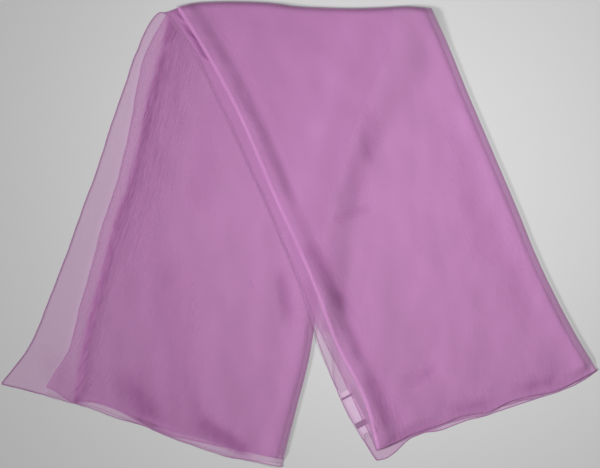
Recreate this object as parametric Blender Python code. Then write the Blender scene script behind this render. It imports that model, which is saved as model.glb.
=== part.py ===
"""A square silk scarf, folded in four lengthwise, turned over at its middle and laid flat in two tails.

Millimetres in the tables, metres in the scene. X to the right, Y to the turned-over top, Z up.
The four lengthwise quarters are a, b, c and d. The left tail shows a on top, the right tail shows b.
"""

import bmesh
import bpy
import numpy as np

MM = 0.001
WALL = 1.0
GAP = 0.3
FOLDED = 3.6
LIP = 1.0
RISE = 7.0
EDGE_ROLL = 7.0
CREASE_ROLL = 11.0
EDGE_FOOT = 0.5
CREASE_INSET = 4.0
OVER_CLEARANCE = 0.6
CORNER_CLEARANCE = 1.5
CORNER_AT = (-190.0, 328.0)
CORNER_REACH = 26.0
CORNER_ROUND = 9.0
CORNER_TO = 0.115
BRIDGE_FROM = 34.0
BRIDGE_TO = 80.0
DRAPE_FROM = 12.0
DRAPE_TO = 38.0
TAIL_SLANT = 0.93
RIDGE_LIFT = 2.4
RIDGE_FROM = 12.0
RIDGE_TO = 34.0
EDGE_BULGE = 1.6
BULGE_IN = 16.0
BULGE_WIDTH = 13.0
LABEL_WIDTH = 18.0
LABEL_LENGTH = 70.0
LABEL_THICK = 1.0
LABEL_AT = (83.5, -267.0)
LABEL_TURN = 0.49
LABEL_CLEARANCE = 1.7

# left tail, a row every ninth of the way from crease to hem
# columns: x, y of the hem of a, then of the hem of d, of the fold b-c, and of the right-hand fold
LEFT_TAIL = np.array([
    (-202, 335, -197, 336, -190, 339, 140, 339),
    (-241, 282, -229, 278, -206, 273, 133, 276),
    (-264, 217, -245, 212, -224, 208, 100, 204),
    (-286, 152, -257, 146, -238, 142, 70, 128),
    (-307, 87, -273, 81, -254, 77, 45, 51),
    (-331, 22, -294, 17, -276, 13, 30, -27),
    (-354, -43, -312, -48, -293, -52, 23, -107),
    (-379, -107, -330, -113, -312, -117, 11, -187),
    (-406, -170, -347, -178, -326, -183, -6, -266),
    (-448, -225, -380, -239, -336, -251, -26, -344),
], float)

# right tail, the same rows and columns; its fold b-c is the front one
RIGHT_TAIL = np.array([
    (-202, 334, -199, 335.5, -184, 340, 198, 339),
    (-156, 268, -154, 269, -142, 272, 225, 279),
    (-120, 194, -118, 195, -103, 201, 250, 217),
    (-84, 119, -82, 120, -69, 127, 276, 156),
    (-51, 44, -49, 45, -38, 53, 302, 95),
    (-17, -32, -15, -31, -3, -21, 328, 34),
    (11, -109, 14, -107, 28, -96, 353, -28),
    (37, -187, 47, -180, 57, -171, 381, -88),
    (71, -263, 88, -254, 95, -244, 412, -147),
    (115, -332, 115, -327, 116, -322, 446, -204),
], float)

# the turned-over top, left to right: x, y
CREASE = np.array([
    (-202, 335), (-164, 346), (-124, 349), (-83, 349), (-43, 347), (-3, 342),
    (38, 340), (79, 339), (119, 340), (160, 342), (197, 339),
], float)

# hems, left to right: x, y of the lowest layer, how far the top layer stops short of it
LEFT_HEM = np.array([
    (-448, -225, 1.0), (-401, -237, 1.0), (-359, -248, 1.5), (-317, -260, 3.5),
    (-276, -275, 2.0), (-234, -288, 2.0), (-194, -305, 3.0), (-153, -319, 4.5),
    (-112, -333, 6.0), (-69, -341, 6.0), (-27, -349, 4.0),
], float)
RIGHT_HEM = np.array([
    (115, -340, 15.0), (145, -319, 12.0), (177, -303, 8.0), (212, -294, 8.0),
    (246, -282, 10.0), (281, -272, 7.0), (315, -260, 6.0), (350, -249, 5.0),
    (384, -238, 4.0), (417, -224, 4.0), (446, -204, 2.0),
], float)

# soft ridges (+) and troughs (-): from x, y to x, y, half width, height
LEFT_FOLDS = (
    (-25, -69, -14, -117, 12, -1.5),
    (-56, -9, -47, -132, 16, 1.0),
    (-245, -225, -221, -267, 18, -1.4),
    (-140, -291, -86, -317, 14, -1.7),
    (-191, -99, -170, -279, 33, -0.8),
    (-263, -144, -272, -243, 20, 0.8),
    (-125, -144, -101, -264, 27, 0.8),
    (-209, -24, -194, -62, 15, -0.6),
    (-155, 261, -185, 156, 18, 0.8),
    (-128, 186, -149, 66, 21, -0.6),
)
RIGHT_FOLDS = (
    (-124, 321, -86, 243, 12, -0.9),
    (-79, 222, -47, 159, 10, -1.4),
    (-44, 138, -4, 54, 10, -1.0),
    (5, 33, 28, -9, 12, 0.6),
    (32, -30, 70, -111, 14, -2.0),
    (77, -141, 95, -180, 10, -1.1),
    (113, -224, 142, -279, 14, -1.7),
    (101, 153, 106, 120, 12, -1.0),
    (80, 114, 88, 69, 14, -1.0),
    (38, 159, 25, 33, 20, 1.4),
    (106, -17, 127, -144, 26, 1.2),
    (244, 126, 274, -9, 24, -0.8),
    (307, -9, 331, -99, 21, -0.6),
    (172, -219, 196, -207, 12, -0.8),
    (241, -261, 277, -254, 12, -1.4),
    (338, -231, 379, -221, 12, -1.4),
    (145, -309, 199, -288, 10, -1.1),
    (-67, 291, 46, 261, 30, 0.8),
    (181, -24, 226, -144, 39, 0.7),
)


def step(value, start, end):
    """0 before start, 1 after end, smooth between."""
    share = np.clip((value - start) / (end - start), 0.0, 1.0)
    return share * share * (3.0 - 2.0 * share)


def quarter_round(distance, radius):
    """The share of full height at a distance in from a rounded edge."""
    share = np.clip(distance / radius, 0.0, 1.0)
    return np.sqrt(1.0 - (1.0 - share) ** 2)


def smooth_rows(table, where):
    """Rows of a table read at shares of its length, on a smooth curve through them."""
    count = len(table) - 1
    spot = np.clip(np.asarray(where, float), 0.0, 1.0) * count
    low = np.minimum(spot.astype(int), count - 1)
    t = (spot - low)[:, None]
    before = table[np.maximum(low - 1, 0)]
    here = table[low]
    there = table[low + 1]
    after = table[np.minimum(low + 2, count)]
    bend = 2 * before - 5 * here + 4 * there - after
    twist = 3 * (here - there) + after - before
    return here + 0.5 * t * (there - before + t * (bend + t * twist))


def edge_x(table, column, y):
    """The x of one of a tail's long edges at a height y."""
    return np.interp(-y, -table[:, column + 1], table[:, column])


def folds(x, y, table):
    """The height that the soft ridges and troughs of a table add at a point."""
    height = np.zeros_like(x)
    for x0, y0, x1, y1, width, rise in table:
        run = np.array((x1 - x0, y1 - y0))
        length = np.hypot(*run)
        along = ((x - x0) * run[0] + (y - y0) * run[1]) / length
        past = along - np.clip(along, 0.0, length)
        across = ((x - x0) * run[1] - (y - y0) * run[0]) / length
        height += rise * np.exp(-(across / width) ** 2 - (past / (1.5 * width)) ** 2)
    return height


def edge_bulge(inside):
    """The soft swelling where a stack of cloth turns back at its right-hand fold."""
    return EDGE_BULGE * np.exp(-((inside - BULGE_IN) / BULGE_WIDTH) ** 2)


def hem_distance(x, y, hem):
    """How far a point lies above the lowest layer's hem."""
    return y - np.interp(x, hem[:, 0], hem[:, 1])


def left_carrier(x, y, rolled):
    """The surface that the left tail's top layer lies on: table, hem of d, then three folded layers.

    Unrolled, it is the smoother surface that the right tail spans over the swelling and past the fold.
    """
    past_d = (x - edge_x(LEFT_TAIL, 2, y)) * TAIL_SLANT
    past_fold = (x - edge_x(LEFT_TAIL, 4, y)) * TAIL_SLANT
    inside = (edge_x(LEFT_TAIL, 6, y) - x) * TAIL_SLANT
    body = step(past_fold, -5.0, 8.0)
    thick = LIP + (FOLDED - LIP) * body * step(hem_distance(x, y, LEFT_HEM), 4.0, 20.0)
    height = -GAP + (thick + GAP) * step(past_d, -RISE, 0.0)
    height = height + folds(x, y, LEFT_FOLDS) * body * step(inside, 0.0, 14.0)
    if not rolled:
        return height + EDGE_BULGE * body * (1.0 - step(inside, BRIDGE_FROM, BRIDGE_TO))
    height = height + edge_bulge(inside) * body * step(inside, 0.0, 14.0)
    return EDGE_FOOT + (height - EDGE_FOOT) * quarter_round(inside, EDGE_ROLL)


def label_frame(x, y):
    """A point seen from the label: across its width and along its length."""
    turn_x = np.cos(LABEL_TURN)
    turn_y = np.sin(LABEL_TURN)
    off_x = x - LABEL_AT[0]
    off_y = y - LABEL_AT[1]
    return off_x * turn_x + off_y * turn_y, -off_x * turn_y + off_y * turn_x


def right_base(x, y):
    """The underside of the right tail: on the left tail, down beside it, over the label, on the table."""
    beyond = (x - edge_x(LEFT_TAIL, 6, y)) * TAIL_SLANT
    corner = np.exp(-((x - CORNER_AT[0]) ** 2 + (y - CORNER_AT[1]) ** 2) / CORNER_REACH ** 2)
    on_left = left_carrier(x, y, False) + GAP + WALL + OVER_CLEARANCE + CORNER_CLEARANCE * corner
    height = on_left * (1.0 - step(beyond, DRAPE_FROM, DRAPE_TO))
    across, along = label_frame(x, y)
    over = step(LABEL_WIDTH / 2 + 16.0 - np.abs(across), 0.0, 11.0)
    over = over * step(LABEL_LENGTH / 2 + 22.0 - np.abs(along), 0.0, 12.0)
    return np.maximum(height, 0.0) + LABEL_CLEARANCE * over


def right_carrier(x, y, past_crease):
    """The surface that the right tail's front layer lies on, with the hems of a and d stepping up to it."""
    past_d = (x - edge_x(RIGHT_TAIL, 2, y)) * TAIL_SLANT
    past_fold = (x - edge_x(RIGHT_TAIL, 4, y)) * TAIL_SLANT
    inside = (edge_x(RIGHT_TAIL, 6, y) - x) * TAIL_SLANT
    hem = step(hem_distance(x, y, RIGHT_HEM), 8.0, 26.0)
    thick = LIP + 0.6 * step(past_d, -3.0, 0.5)
    full = FOLDED - LIP - 0.6
    body = quarter_round(past_fold + 0.5, EDGE_ROLL)
    thick = thick + full * body * hem
    ridge = RIDGE_LIFT * step(past_fold, -0.5, 6.0) * (1.0 - step(past_fold, RIDGE_FROM, RIDGE_TO))
    soft = folds(x, y, RIGHT_FOLDS) + edge_bulge(inside)
    soft = soft * step(past_fold, 0.0, 14.0) * step(inside, 0.0, 16.0)
    thick = thick + (ridge + soft) * hem
    height = right_base(x, y) + thick
    height = EDGE_FOOT + (height - EDGE_FOOT) * quarter_round(inside, EDGE_ROLL)
    return EDGE_FOOT + (height - EDGE_FOOT) * quarter_round(past_crease, CREASE_ROLL)


def tail_plan(table, columns, shares, hem, crease_drop, corner_round):
    """Plan of a tail: x, y with a column for each entry, a row for each share, and a last row of lips."""
    keys = smooth_rows(table, shares).reshape(len(shares), 4, 2)
    bow = np.sin(np.pi * np.clip(np.asarray(shares) / CORNER_TO, 0.0, 1.0))[:, None]
    keys[:, 0] += corner_round * bow * np.array((-0.8, 0.6))
    plan = np.zeros((len(shares), len(columns), 2))
    for index, (key, share, offset) in enumerate(columns):
        if key < 3:
            run = keys[:, key + 1] - keys[:, key]
        else:
            run = keys[:, key] - keys[:, key - 1]
        reach = np.hypot(run[:, 0], run[:, 1])
        if offset < 0 and key > 0:
            run_back = keys[:, key] - keys[:, key - 1]
            reach = np.hypot(run_back[:, 0], run_back[:, 1])
            run = run_back
        moved = np.sign(offset) * np.minimum(abs(offset), 0.28 * reach)
        plan[:, index] = keys[:, key] + run * (share + moved / reach)[:, None]
    across = np.hypot(*np.moveaxis(plan - plan[:, :1], 2, 0))
    across = across / across[:, -1:]
    crease = np.interp(plan[0, :, 0], CREASE[:, 0], CREASE[:, 1])
    drop = crease_drop * step(plan[0, :, 0] - CREASE[0, 0], 0.0, 30.0)
    lift = crease - drop - plan[0, :, 1]
    near_crease = (1.0 - step(np.asarray(shares), 0.0, 0.25))[:, None]
    plan[:, :, 1] += near_crease * lift[None, :]
    hem_row = smooth_rows(hem, across[-1])
    wanted = hem_row[:, :2] + np.stack([np.zeros(len(columns)), hem_row[:, 2]], 1)
    near_hem = step(np.asarray(shares), 0.8, 1.0)[:, None, None]
    plan = plan + near_hem * (wanted - plan[-1])[None]
    return np.concatenate([plan, hem_row[None, :, :2]])


def normals_of(points):
    """Unit normals of a grid of points, pointing up."""
    down = np.gradient(points, axis=0)
    right = np.gradient(points, axis=1)
    normal = np.cross(down, right)
    normal = normal / np.linalg.norm(normal, axis=2, keepdims=True)
    return normal * np.sign(normal[:, :, 2:] + 1e-9)


def solid_between(name, top, under, material):
    """One closed body between two grids of points that share their columns and rows."""
    rows, cols = top.shape[:2]
    points = np.concatenate([top.reshape(-1, 3), under.reshape(-1, 3)]) * MM
    size = rows * cols
    faces = []
    for row in range(rows - 1):
        for col in range(cols - 1):
            a = row * cols + col
            b = a + cols
            faces.append((a, b, b + 1, a + 1))
            faces.append((size + a, size + a + 1, size + b + 1, size + b))
    rim = [row * cols for row in range(rows)]
    rim += [(rows - 1) * cols + col for col in range(1, cols)]
    rim += [row * cols + cols - 1 for row in range(rows - 2, -1, -1)]
    rim += list(range(cols - 2, 0, -1))
    for here, there in zip(rim, rim[1:] + rim[:1]):
        faces.append((here, size + here, size + there, there))
    mesh = bpy.data.meshes.new(name)
    mesh.from_pydata(points.tolist(), [], faces)
    body = bmesh.new()
    body.from_mesh(mesh)
    bmesh.ops.recalc_face_normals(body, faces=body.faces)
    low = [edge for edge in body.edges if all(abs(vert.co.z) < 1e-7 for vert in edge.verts)]
    inner = [edge for edge in low if len(edge.link_faces) == 2]
    flat = [edge for edge in inner if all(face.normal.z < -0.9999 for face in edge.link_faces)]
    bmesh.ops.dissolve_edges(body, edges=flat, use_verts=False)
    body.to_mesh(mesh)
    body.free()
    mesh.polygons.foreach_set("use_smooth", [True] * len(mesh.polygons))
    mesh.materials.append(material)
    made = bpy.data.objects.new(name, mesh)
    bpy.context.scene.collection.objects.link(made)
    return made


def cloth_material(name, colour, roughness):
    """A plain dyed cloth."""
    made = bpy.data.materials.new(name)
    made.use_nodes = True
    shader = made.node_tree.nodes["Principled BSDF"]
    shader.inputs["Base Color"].default_value = (*colour, 1.0)
    shader.inputs["Roughness"].default_value = roughness
    made.diffuse_color = (*colour, 1.0)
    return made


def with_height(plan, height):
    return np.concatenate([plan, height[:, :, None]], axis=2)


def shares_of(first, middle, count, last):
    """Row shares: close together at the crease and at the hem, even between."""
    return list(first) + list(np.linspace(middle[0], middle[1], count)) + list(last)


for thing in list(bpy.data.objects):
    bpy.data.objects.remove(thing, do_unlink=True)

silk_top_left = cloth_material("mauve_silk_quarter_a", (0.41, 0.20, 0.36), 0.55)
silk_core_left = cloth_material("mauve_silk_quarters_d_c_b", (0.38, 0.17, 0.33), 0.55)
silk_front_right = cloth_material("mauve_silk_quarter_b", (0.42, 0.20, 0.37), 0.55)
silk_core_right = cloth_material("mauve_silk_quarters_c_d_a", (0.37, 0.17, 0.32), 0.55)
satin_label = cloth_material("pale_satin_label", (0.78, 0.74, 0.79), 0.45)

# left tail: columns at the hems of a and d, the fold b-c and the right-hand fold, closer at each step
# each column: key line, share of the way to the next one, millimetres beside it
left_columns = [(0, 0.0, 0), (0, 0.35, 0), (0, 0.68, 0), (1, 0.0, -7), (1, 0.0, -3), (1, 0.0, 0)]
left_columns += [(1, 0.4, 0), (2, 0.0, -5), (2, 0.0, 0), (2, 0.0, 8)]
left_columns += [(2, share, 0) for share in np.linspace(0.08, 0.92, 16)]
left_columns += [(3, 0.0, -14), (3, 0.0, -7), (3, 0.0, -3.4), (3, 0.0, -1.2), (3, 0.0, 0)]
left_shares = shares_of((0.0, 0.012), (0.035, 0.945), 32, (0.965, 0.98, 0.991, 1.0))
left_plan = tail_plan(LEFT_TAIL, left_columns, left_shares, LEFT_HEM, CREASE_INSET, CORNER_ROUND)
left_surface = with_height(left_plan, left_carrier(left_plan[:, :, 0], left_plan[:, :, 1], True))
left_normals = normals_of(left_surface)

first_of_d = 5
core_top = left_surface[:, first_of_d:].copy()
core_under = core_top.copy()
core_under[:, :, 2] = 0.0
solid_between("left_tail_folded_core", core_top, core_under, silk_core_left)

layer = left_surface[:-1] + GAP * left_normals[:-1]
layer[:, :, 2] = np.maximum(layer[:, :, 2], 0.0)
solid_between("left_tail_top_layer", layer + WALL * left_normals[:-1], layer, silk_top_left)

# right tail: the same, with closer columns where the front layer rolls over its fold
right_columns = [(0, 0.0, 0), (0, 0.5, 0), (1, 0.0, 0), (1, 0.5, 0), (2, 0.0, -1.5), (2, 0.0, 0)]
right_columns += [(2, 0.0, 1.0), (2, 0.0, 3.0), (2, 0.0, 7.0), (2, 0.0, 13.0), (2, 0.0, 20.0)]
right_columns += [(2, share, 0) for share in np.linspace(0.09, 0.92, 17)]
right_columns += [(3, 0.0, -15), (3, 0.0, -7), (3, 0.0, -3.4), (3, 0.0, -1.2), (3, 0.0, 0)]
right_shares = shares_of((0.0, 0.0012, 0.004, 0.0085, 0.015), (0.035, 0.945), 31, (0.965, 0.98, 0.991, 1.0))
right_plan = tail_plan(RIGHT_TAIL, right_columns, right_shares, RIGHT_HEM, 0.0, 0.0)
past_crease = np.interp(right_plan[:, :, 0], CREASE[:, 0], CREASE[:, 1]) - right_plan[:, :, 1]
right_heights = right_carrier(right_plan[:, :, 0], right_plan[:, :, 1], past_crease)
right_surface = with_height(right_plan, right_heights)
right_normals = normals_of(right_surface)

first_row = 3
core_top = right_surface[first_row:]
under_height = right_base(right_plan[first_row:, :, 0], right_plan[first_row:, :, 1])
under_height = np.minimum(under_height, core_top[:, :, 2] - WALL).clip(0.0)
core_under = with_height(right_plan[first_row:], under_height)
core_under[:, -1, 2] = 0.0
solid_between("right_tail_folded_core", core_top, core_under, silk_core_right)

first_of_b = 5
layer_normals = right_normals[:-1, first_of_b:]
layer = right_surface[:-1, first_of_b:] + GAP * layer_normals
solid_between("right_tail_front_layer", layer + WALL * layer_normals, layer, silk_front_right)

# the label, a flat woven tape sewn under the hem of a
corner_x = np.array([-1, 1]) * LABEL_WIDTH / 2
corner_y = np.linspace(LABEL_LENGTH / 2, -LABEL_LENGTH / 2, 2)
grid_x, grid_y = np.meshgrid(corner_x, corner_y)
turned_x = LABEL_AT[0] + grid_x * np.cos(LABEL_TURN) - grid_y * np.sin(LABEL_TURN)
turned_y = LABEL_AT[1] + grid_x * np.sin(LABEL_TURN) + grid_y * np.cos(LABEL_TURN)
label_plan = np.stack([turned_x, turned_y], axis=2)
label_top = with_height(label_plan, np.full((2, 2), LABEL_THICK))
label_under = with_height(label_plan, np.zeros((2, 2)))
solid_between("sewn_label", label_top, label_under, satin_label)

# the middle of the whole outline goes to the origin
solids = [thing for thing in bpy.data.objects if thing.type == "MESH"]
corners = np.array([tuple(vert.co) for thing in solids for vert in thing.data.vertices])
middle = (corners.min(axis=0) + corners.max(axis=0)) / 2
for thing in solids:
    for vert in thing.data.vertices:
        vert.co.x -= middle[0]
        vert.co.y -= middle[1]
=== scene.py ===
import bpy
import numpy as np
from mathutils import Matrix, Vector


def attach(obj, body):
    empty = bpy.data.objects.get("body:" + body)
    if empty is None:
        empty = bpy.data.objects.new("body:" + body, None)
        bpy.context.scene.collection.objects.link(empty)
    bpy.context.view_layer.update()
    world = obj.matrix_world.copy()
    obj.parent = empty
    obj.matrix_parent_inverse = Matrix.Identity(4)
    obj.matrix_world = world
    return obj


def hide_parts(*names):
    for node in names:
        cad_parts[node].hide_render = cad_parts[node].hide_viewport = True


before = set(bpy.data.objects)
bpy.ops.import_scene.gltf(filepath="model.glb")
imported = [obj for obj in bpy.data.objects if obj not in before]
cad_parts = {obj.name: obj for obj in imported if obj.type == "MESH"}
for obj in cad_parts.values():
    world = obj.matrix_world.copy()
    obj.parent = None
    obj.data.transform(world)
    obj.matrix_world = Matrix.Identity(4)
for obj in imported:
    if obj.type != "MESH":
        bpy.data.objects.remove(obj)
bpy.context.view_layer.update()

# A large silk square, folded in four lengthwise, turned over at its middle, laid flat as two crossed tails.
# Quarter a of the cloth runs from one hem to a right-hand fold, b back to the left-hand fold b-c, c out to
# the second right-hand fold and d back to the other hem. Each quarter of each tail is one sheet.
# Sizes are in millimetres unless a comment says otherwise. X is to the right, Y towards the turned-over top
# and Z up. The functions take and give whole arrays of points.
MM = 0.001
# where the middle of the tables stands in the frame
MIDDLE = (1.0, -0.64)

# one wall of cloth, the gap between pieces, three folded layers, the cloth beside its hem, the lowest sheet
WALL = 1.0
GAP = 0.3
FOLDED = 3.6
LIP = 1.0
FOOT = 0.35
# what the hem of d adds, how far the next sheet lies under the top one, how far a is lifted over d and as the
# stack gets how high, and how far the right tail is lifted over the left one
HEM_LAYER = 0.6
UNDER_TOP = 0.45
OVER_D = 0.35
OVER_D_FROM = (0.2, 1.0)
OVER_LEFT = 0.6

# how far in from an edge the cloth climbs or rolls over
RISE = 7.0
EDGE_ROLL = 5.0
FRONT_ROLL = 3.5
INNER_ROLL = 4.0
CREASE_ROLL = 11.0
LEFT_FOLD_RISE = (-5.0, 8.0)
LEFT_HEM_RISE = (4.0, 20.0)
RIGHT_HEM_RISE = (8.0, 26.0)
RIGHT_D_RISE = (-3.0, 0.5)
EASE_IN = 14.0
EASE_IN_RIGHT = 16.0
# the long edges slant, so a distance from one is this share of the distance along X
SLANT = 0.93
# nearer the turned-over top the left fold rises from this much further out, gained between two places in Y
BAND_SLOPE = 13.0
BAND_SLOPE_Y = (-100.0, 60.0)

# how far d and c stop short of the right-hand folds, how far in a leaves the table, where d opens out beside
# the fold b-c, how high c and d lie in the right stack, and how the left tail's upper corner is rounded
D_INSET = 6.0
C_INSET = 9.0
A_EDGE = 6.0
FOLD_MEETS = -4.0
CORE_SHARE = 0.45
CORNER_ROUND = 9.5
CORNER_TO = 0.115
CORNER_WAY = (-0.8, 0.6)

# the right tail where it comes down beside the left one
BRIDGE = (34.0, 80.0)
DRAPE_FROM = 6.0
DRAPE_TO = 46.0
DRAPE_WIDER = 44.0
DRAPE_WIDER_Y = (100.0, 320.0)

# the ridge of the front fold, the swelling inside the right-hand folds, and the crumples beside the ridge
RIDGE_LIFT = 3.0
RIDGE_CLIMB = (-0.5, 5.0)
RIDGE_FALL = (12.0, 34.0)
RIDGE_LOW = 0.84
RIDGE_MORE = 0.4
RIDGE_MORE_Y = (-120.0, 120.0)
RIDGE_UNEVEN = 0.2
EDGE_BULGE = 2.4
BULGE_IN = 14.0
BULGE_WIDTH = 18.0
DEEPEST = 2.4
CRUMPLE_LIFT = 1.5
CRUMPLE_AT = -5.0
CRUMPLE_WIDTH = 4.5
CRUMPLE_Y = (236.0, 262.0)

# how dark the cloth is drawn: down its right-hand folds and at the turned-over top, doubled and seen on edge;
# in the hidden fold and the strip beside the ridge, doubled with painted shade; in the fold's streaks and for
# each millimetre of a trough's depth, painted shade; in the crumples, painted shadow
GATHER_EDGE_LEFT = 0.14
GATHER_EDGE_RIGHT = 0.12
FOLD_DOUBLED_AND_PAINTED_SHADE = 0.95
STREAK_PAINTED_SHADE = 0.24
GATHER_TURNED = 0.3
CRUMPLE_PAINTED_SHADOW = 1.6
STRIP_DOUBLED_AND_PAINTED_SHADE = 0.4
TROUGH_PAINTED_SHADE_LEFT = 0.26
TROUGH_PAINTED_SHADE_RIGHT = 0.18
CREASE_PAINTED_SHADE = 0.3
DOUBLED_AND_PAINTED_SHADE_MOST = 1.3

# how far in from the hidden fold, the right-hand fold, the crease and the hem the cloth starts to billow
BILLOW_FOLD = (4.0, 22.0)
BILLOW_EDGE = (4.0, 20.0)
BILLOW_CREASE = (6.0, 30.0)
BILLOW_HEM = (6.0, 26.0)

# the label, its two plain woven bars as place along it and half width, and the tuck of its ends
LABEL_WIDTH = 18.0
LABEL_LENGTH = 70.0
LABEL_AT = (83.5, -267.0)
LABEL_TURN = 0.49
LABEL_LIFT = 1.7
LABEL_REACH = 9.0
LABEL_SLOPE = 7.0
LABEL_Z = 0.75
LABEL_TUCK = 0.2
LABEL_TUCK_FROM = (7.0, 5.0)
LABEL_BARS = ((26.5, 1.4), (-20.0, 4.5))
LABEL_CELLS = (8, 39)

# the rolled hem and its stitches, which show on the roll's upper side, on its lower side or between
HEM_WIDTH = 1.6
HEM_HEIGHT = 0.9
HEM_STEP = 4.0
STITCH_PITCH = 2.6
STITCH_LENGTH = 1.7
STITCH_WIDTH = 0.3
STITCH_UP = 0.4
STITCH_DOWN = -0.1
STITCH_LEVEL = 0.15

# where three of the edges stand in a tail's table, x here and y in the next column
HEM_D, FOLD, RIGHT_FOLD = 2, 4, 6

# left tail, a row every ninth of the way from crease to hem
# columns: x and y of the hem of a, of the hem of d, of the fold b-c and of the right-hand fold
LEFT_TAIL = np.array([
    (-202, 335, -197, 336, -190, 339, 140, 339),
    (-241, 282, -229, 278, -206, 273, 133, 276),
    (-264, 217, -245, 212, -224, 208, 100, 204),
    (-286, 152, -257, 146, -238, 142, 70, 128),
    (-307, 87, -273, 81, -254, 77, 45, 51),
    (-331, 22, -294, 17, -276, 13, 30, -27),
    (-354, -43, -312, -48, -293, -52, 26, -107),
    (-379, -107, -330, -113, -312, -117, 14, -187),
    (-406, -170, -347, -178, -326, -183, -6, -266),
    (-448, -225, -380, -239, -336, -251, -26, -344),
], float)

# right tail, the same rows and columns
RIGHT_TAIL = np.array([
    (-202, 334, -199, 335.5, -184, 340, 198, 339),
    (-156, 268, -154, 269, -142, 272, 225, 279),
    (-120, 194, -118, 195, -103, 201, 250, 217),
    (-84, 119, -82, 120, -69, 127, 276, 156),
    (-51, 44, -49, 45, -38, 53, 302, 95),
    (-17, -32, -15, -31, -3, -21, 328, 34),
    (11, -109, 14, -107, 28, -96, 353, -28),
    (37, -187, 47, -180, 57, -171, 381, -88),
    (71, -263, 83, -254, 95, -244, 412, -147),
    (115, -332, 115, -327, 116, -322, 446, -204),
], float)

# the turned-over top, left to right. columns: x, y
CREASE = np.array([
    (-202, 335), (-164, 346), (-124, 349), (-83, 349), (-43, 347), (-3, 342),
    (38, 340), (79, 339), (119, 340), (160, 342), (198, 339),
], float)

# left hem, left to right. columns: x and y of the longest layer, how far a, d, c and b stop short of it
LEFT_HEM = np.array([
    (-448, -225, 0.0, 12.0, 14.0, 12.0), (-401, -237, 0.0, 12.0, 14.0, 12.0),
    (-374, -244, 0.0, 12.0, 14.0, 12.0), (-340, -254, 0.5, 2.0, 5.0, 3.0),
    (-317, -260, 0.0, 8.0, 10.0, 9.0), (-276, -275, 0.0, 13.0, 15.0, 12.0),
    (-234, -288, 0.0, 4.0, 7.0, 3.0), (-194, -305, 0.0, 10.0, 12.0, 3.0),
    (-153, -319, 0.0, 14.0, 16.0, 8.0), (-112, -333, 0.0, 16.0, 17.0, 13.0),
    (-69, -341, 0.0, 13.0, 15.0, 12.0), (-27, -349, 0.0, 13.0, 15.0, 12.0),
], float)

# right hem, left to right. columns: x and y of the longest layer, how far b, c, d and a stop short of it
RIGHT_HEM = np.array([
    (115, -340, 17.0, 17.0, 15.0, 0.0), (128, -337, 18.0, 17.0, 16.0, 0.0),
    (145, -325, 14.0, 12.0, 11.0, 0.0), (161, -310, 7.0, 5.0, 4.0, 0.5),
    (182, -300, 5.0, 2.0, 3.0, 0.0), (212, -294, 9.0, 6.0, 8.0, 0.0),
    (246, -282, 10.0, 5.0, 7.0, 1.0), (281, -272, 5.0, 2.0, 8.0, 0.0),
    (315, -260, 9.0, 7.0, 4.0, 0.0), (350, -249, 7.0, 2.0, 5.0, 0.5),
    (384, -238, 3.0, 5.0, 2.0, 0.0), (417, -224, 5.0, 2.5, 4.0, 0.0),
    (448, -204, 2.0, 1.0, 1.5, 0.0),
], float)

TABLES = {"left": (LEFT_TAIL, LEFT_HEM), "right": (RIGHT_TAIL, RIGHT_HEM)}

# soft ridges (+) and troughs (-). columns: x and y of one end, x and y of the other, half width, height
LEFT_FOLDS = (
    (-25, -69, -14, -117, 12, -1.5),
    (-56, -9, -47, -132, 16, 1.0),
    (-252, -232, -230, -268, 26, -2.1),
    (-132, -293, -90, -319, 16, -2.3),
    (-191, -99, -170, -279, 33, -0.8),
    (-263, -144, -272, -243, 20, 0.8),
    (-125, -144, -101, -264, 27, 0.8),
    (-209, -24, -194, -62, 15, -0.6),
    (-155, 261, -185, 156, 18, 0.8),
    (-128, 186, -149, 66, 21, -0.6),
)
RIGHT_FOLDS = (
    (-124, 321, -86, 243, 12, -0.9),
    (-79, 222, -47, 159, 10, -1.4),
    (-44, 138, -4, 54, 10, -1.0),
    (5, 33, 28, -9, 12, 0.6),
    (32, -30, 70, -111, 14, -2.0),
    (77, -141, 95, -180, 10, -1.1),
    (113, -224, 142, -279, 14, -1.7),
    (106, 174, 104, 122, 12, -1.0),
    (80, 114, 88, 69, 14, -1.0),
    (38, 159, 25, 33, 20, 1.4),
    (106, -17, 127, -144, 26, 1.2),
    (244, 126, 274, -9, 24, -0.8),
    (307, -9, 331, -99, 21, -0.6),
    (172, -219, 196, -207, 12, -0.8),
    (241, -261, 277, -254, 12, -1.4),
    (338, -231, 379, -221, 12, -1.4),
    (145, -309, 199, -288, 10, -1.1),
    (-67, 291, 46, 261, 30, 0.8),
    (181, -24, 226, -144, 39, 0.7),
)

# short sharp creases, in the same columns
LEFT_CREASES = (
    (-26, -76, -18, -108, 8, -0.9),
    (-70, -72, -66, -80, 3, -0.5),
    (-250, -236, -228, -264, 16, -1.6),
    (-368, -200, -350, -242, 22, -0.6),
    (-150, -258, -142, -290, 9, -1.2),
    (-130, -294, -92, -318, 11, -2.0),
    (-202, 252, -232, 130, 5, -0.7),
    (-188, 262, -214, 168, 4, -0.6),
    (-168, 256, -186, 190, 5, -0.5),
)
RIGHT_CREASES = (
    (62, 24, 98, 38, 6, -1.2),
    (20, -28, 58, -100, 9, -2.3),
    (-90, 216, -56, 160, 7, -0.7),
    (-40, 136, -12, 62, 7, -0.6),
    (80, -146, 92, -176, 7, -0.9),
    (110, -226, 130, -282, 8, -1.4),
    (100, 150, 106, 118, 7, -0.9),
    (184, -218, 196, -208, 6, -0.8),
    (244, -262, 274, -255, 6, -1.2),
    (342, -230, 376, -222, 6, -1.2),
    (146, -306, 196, -290, 6, -1.0),
)

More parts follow.
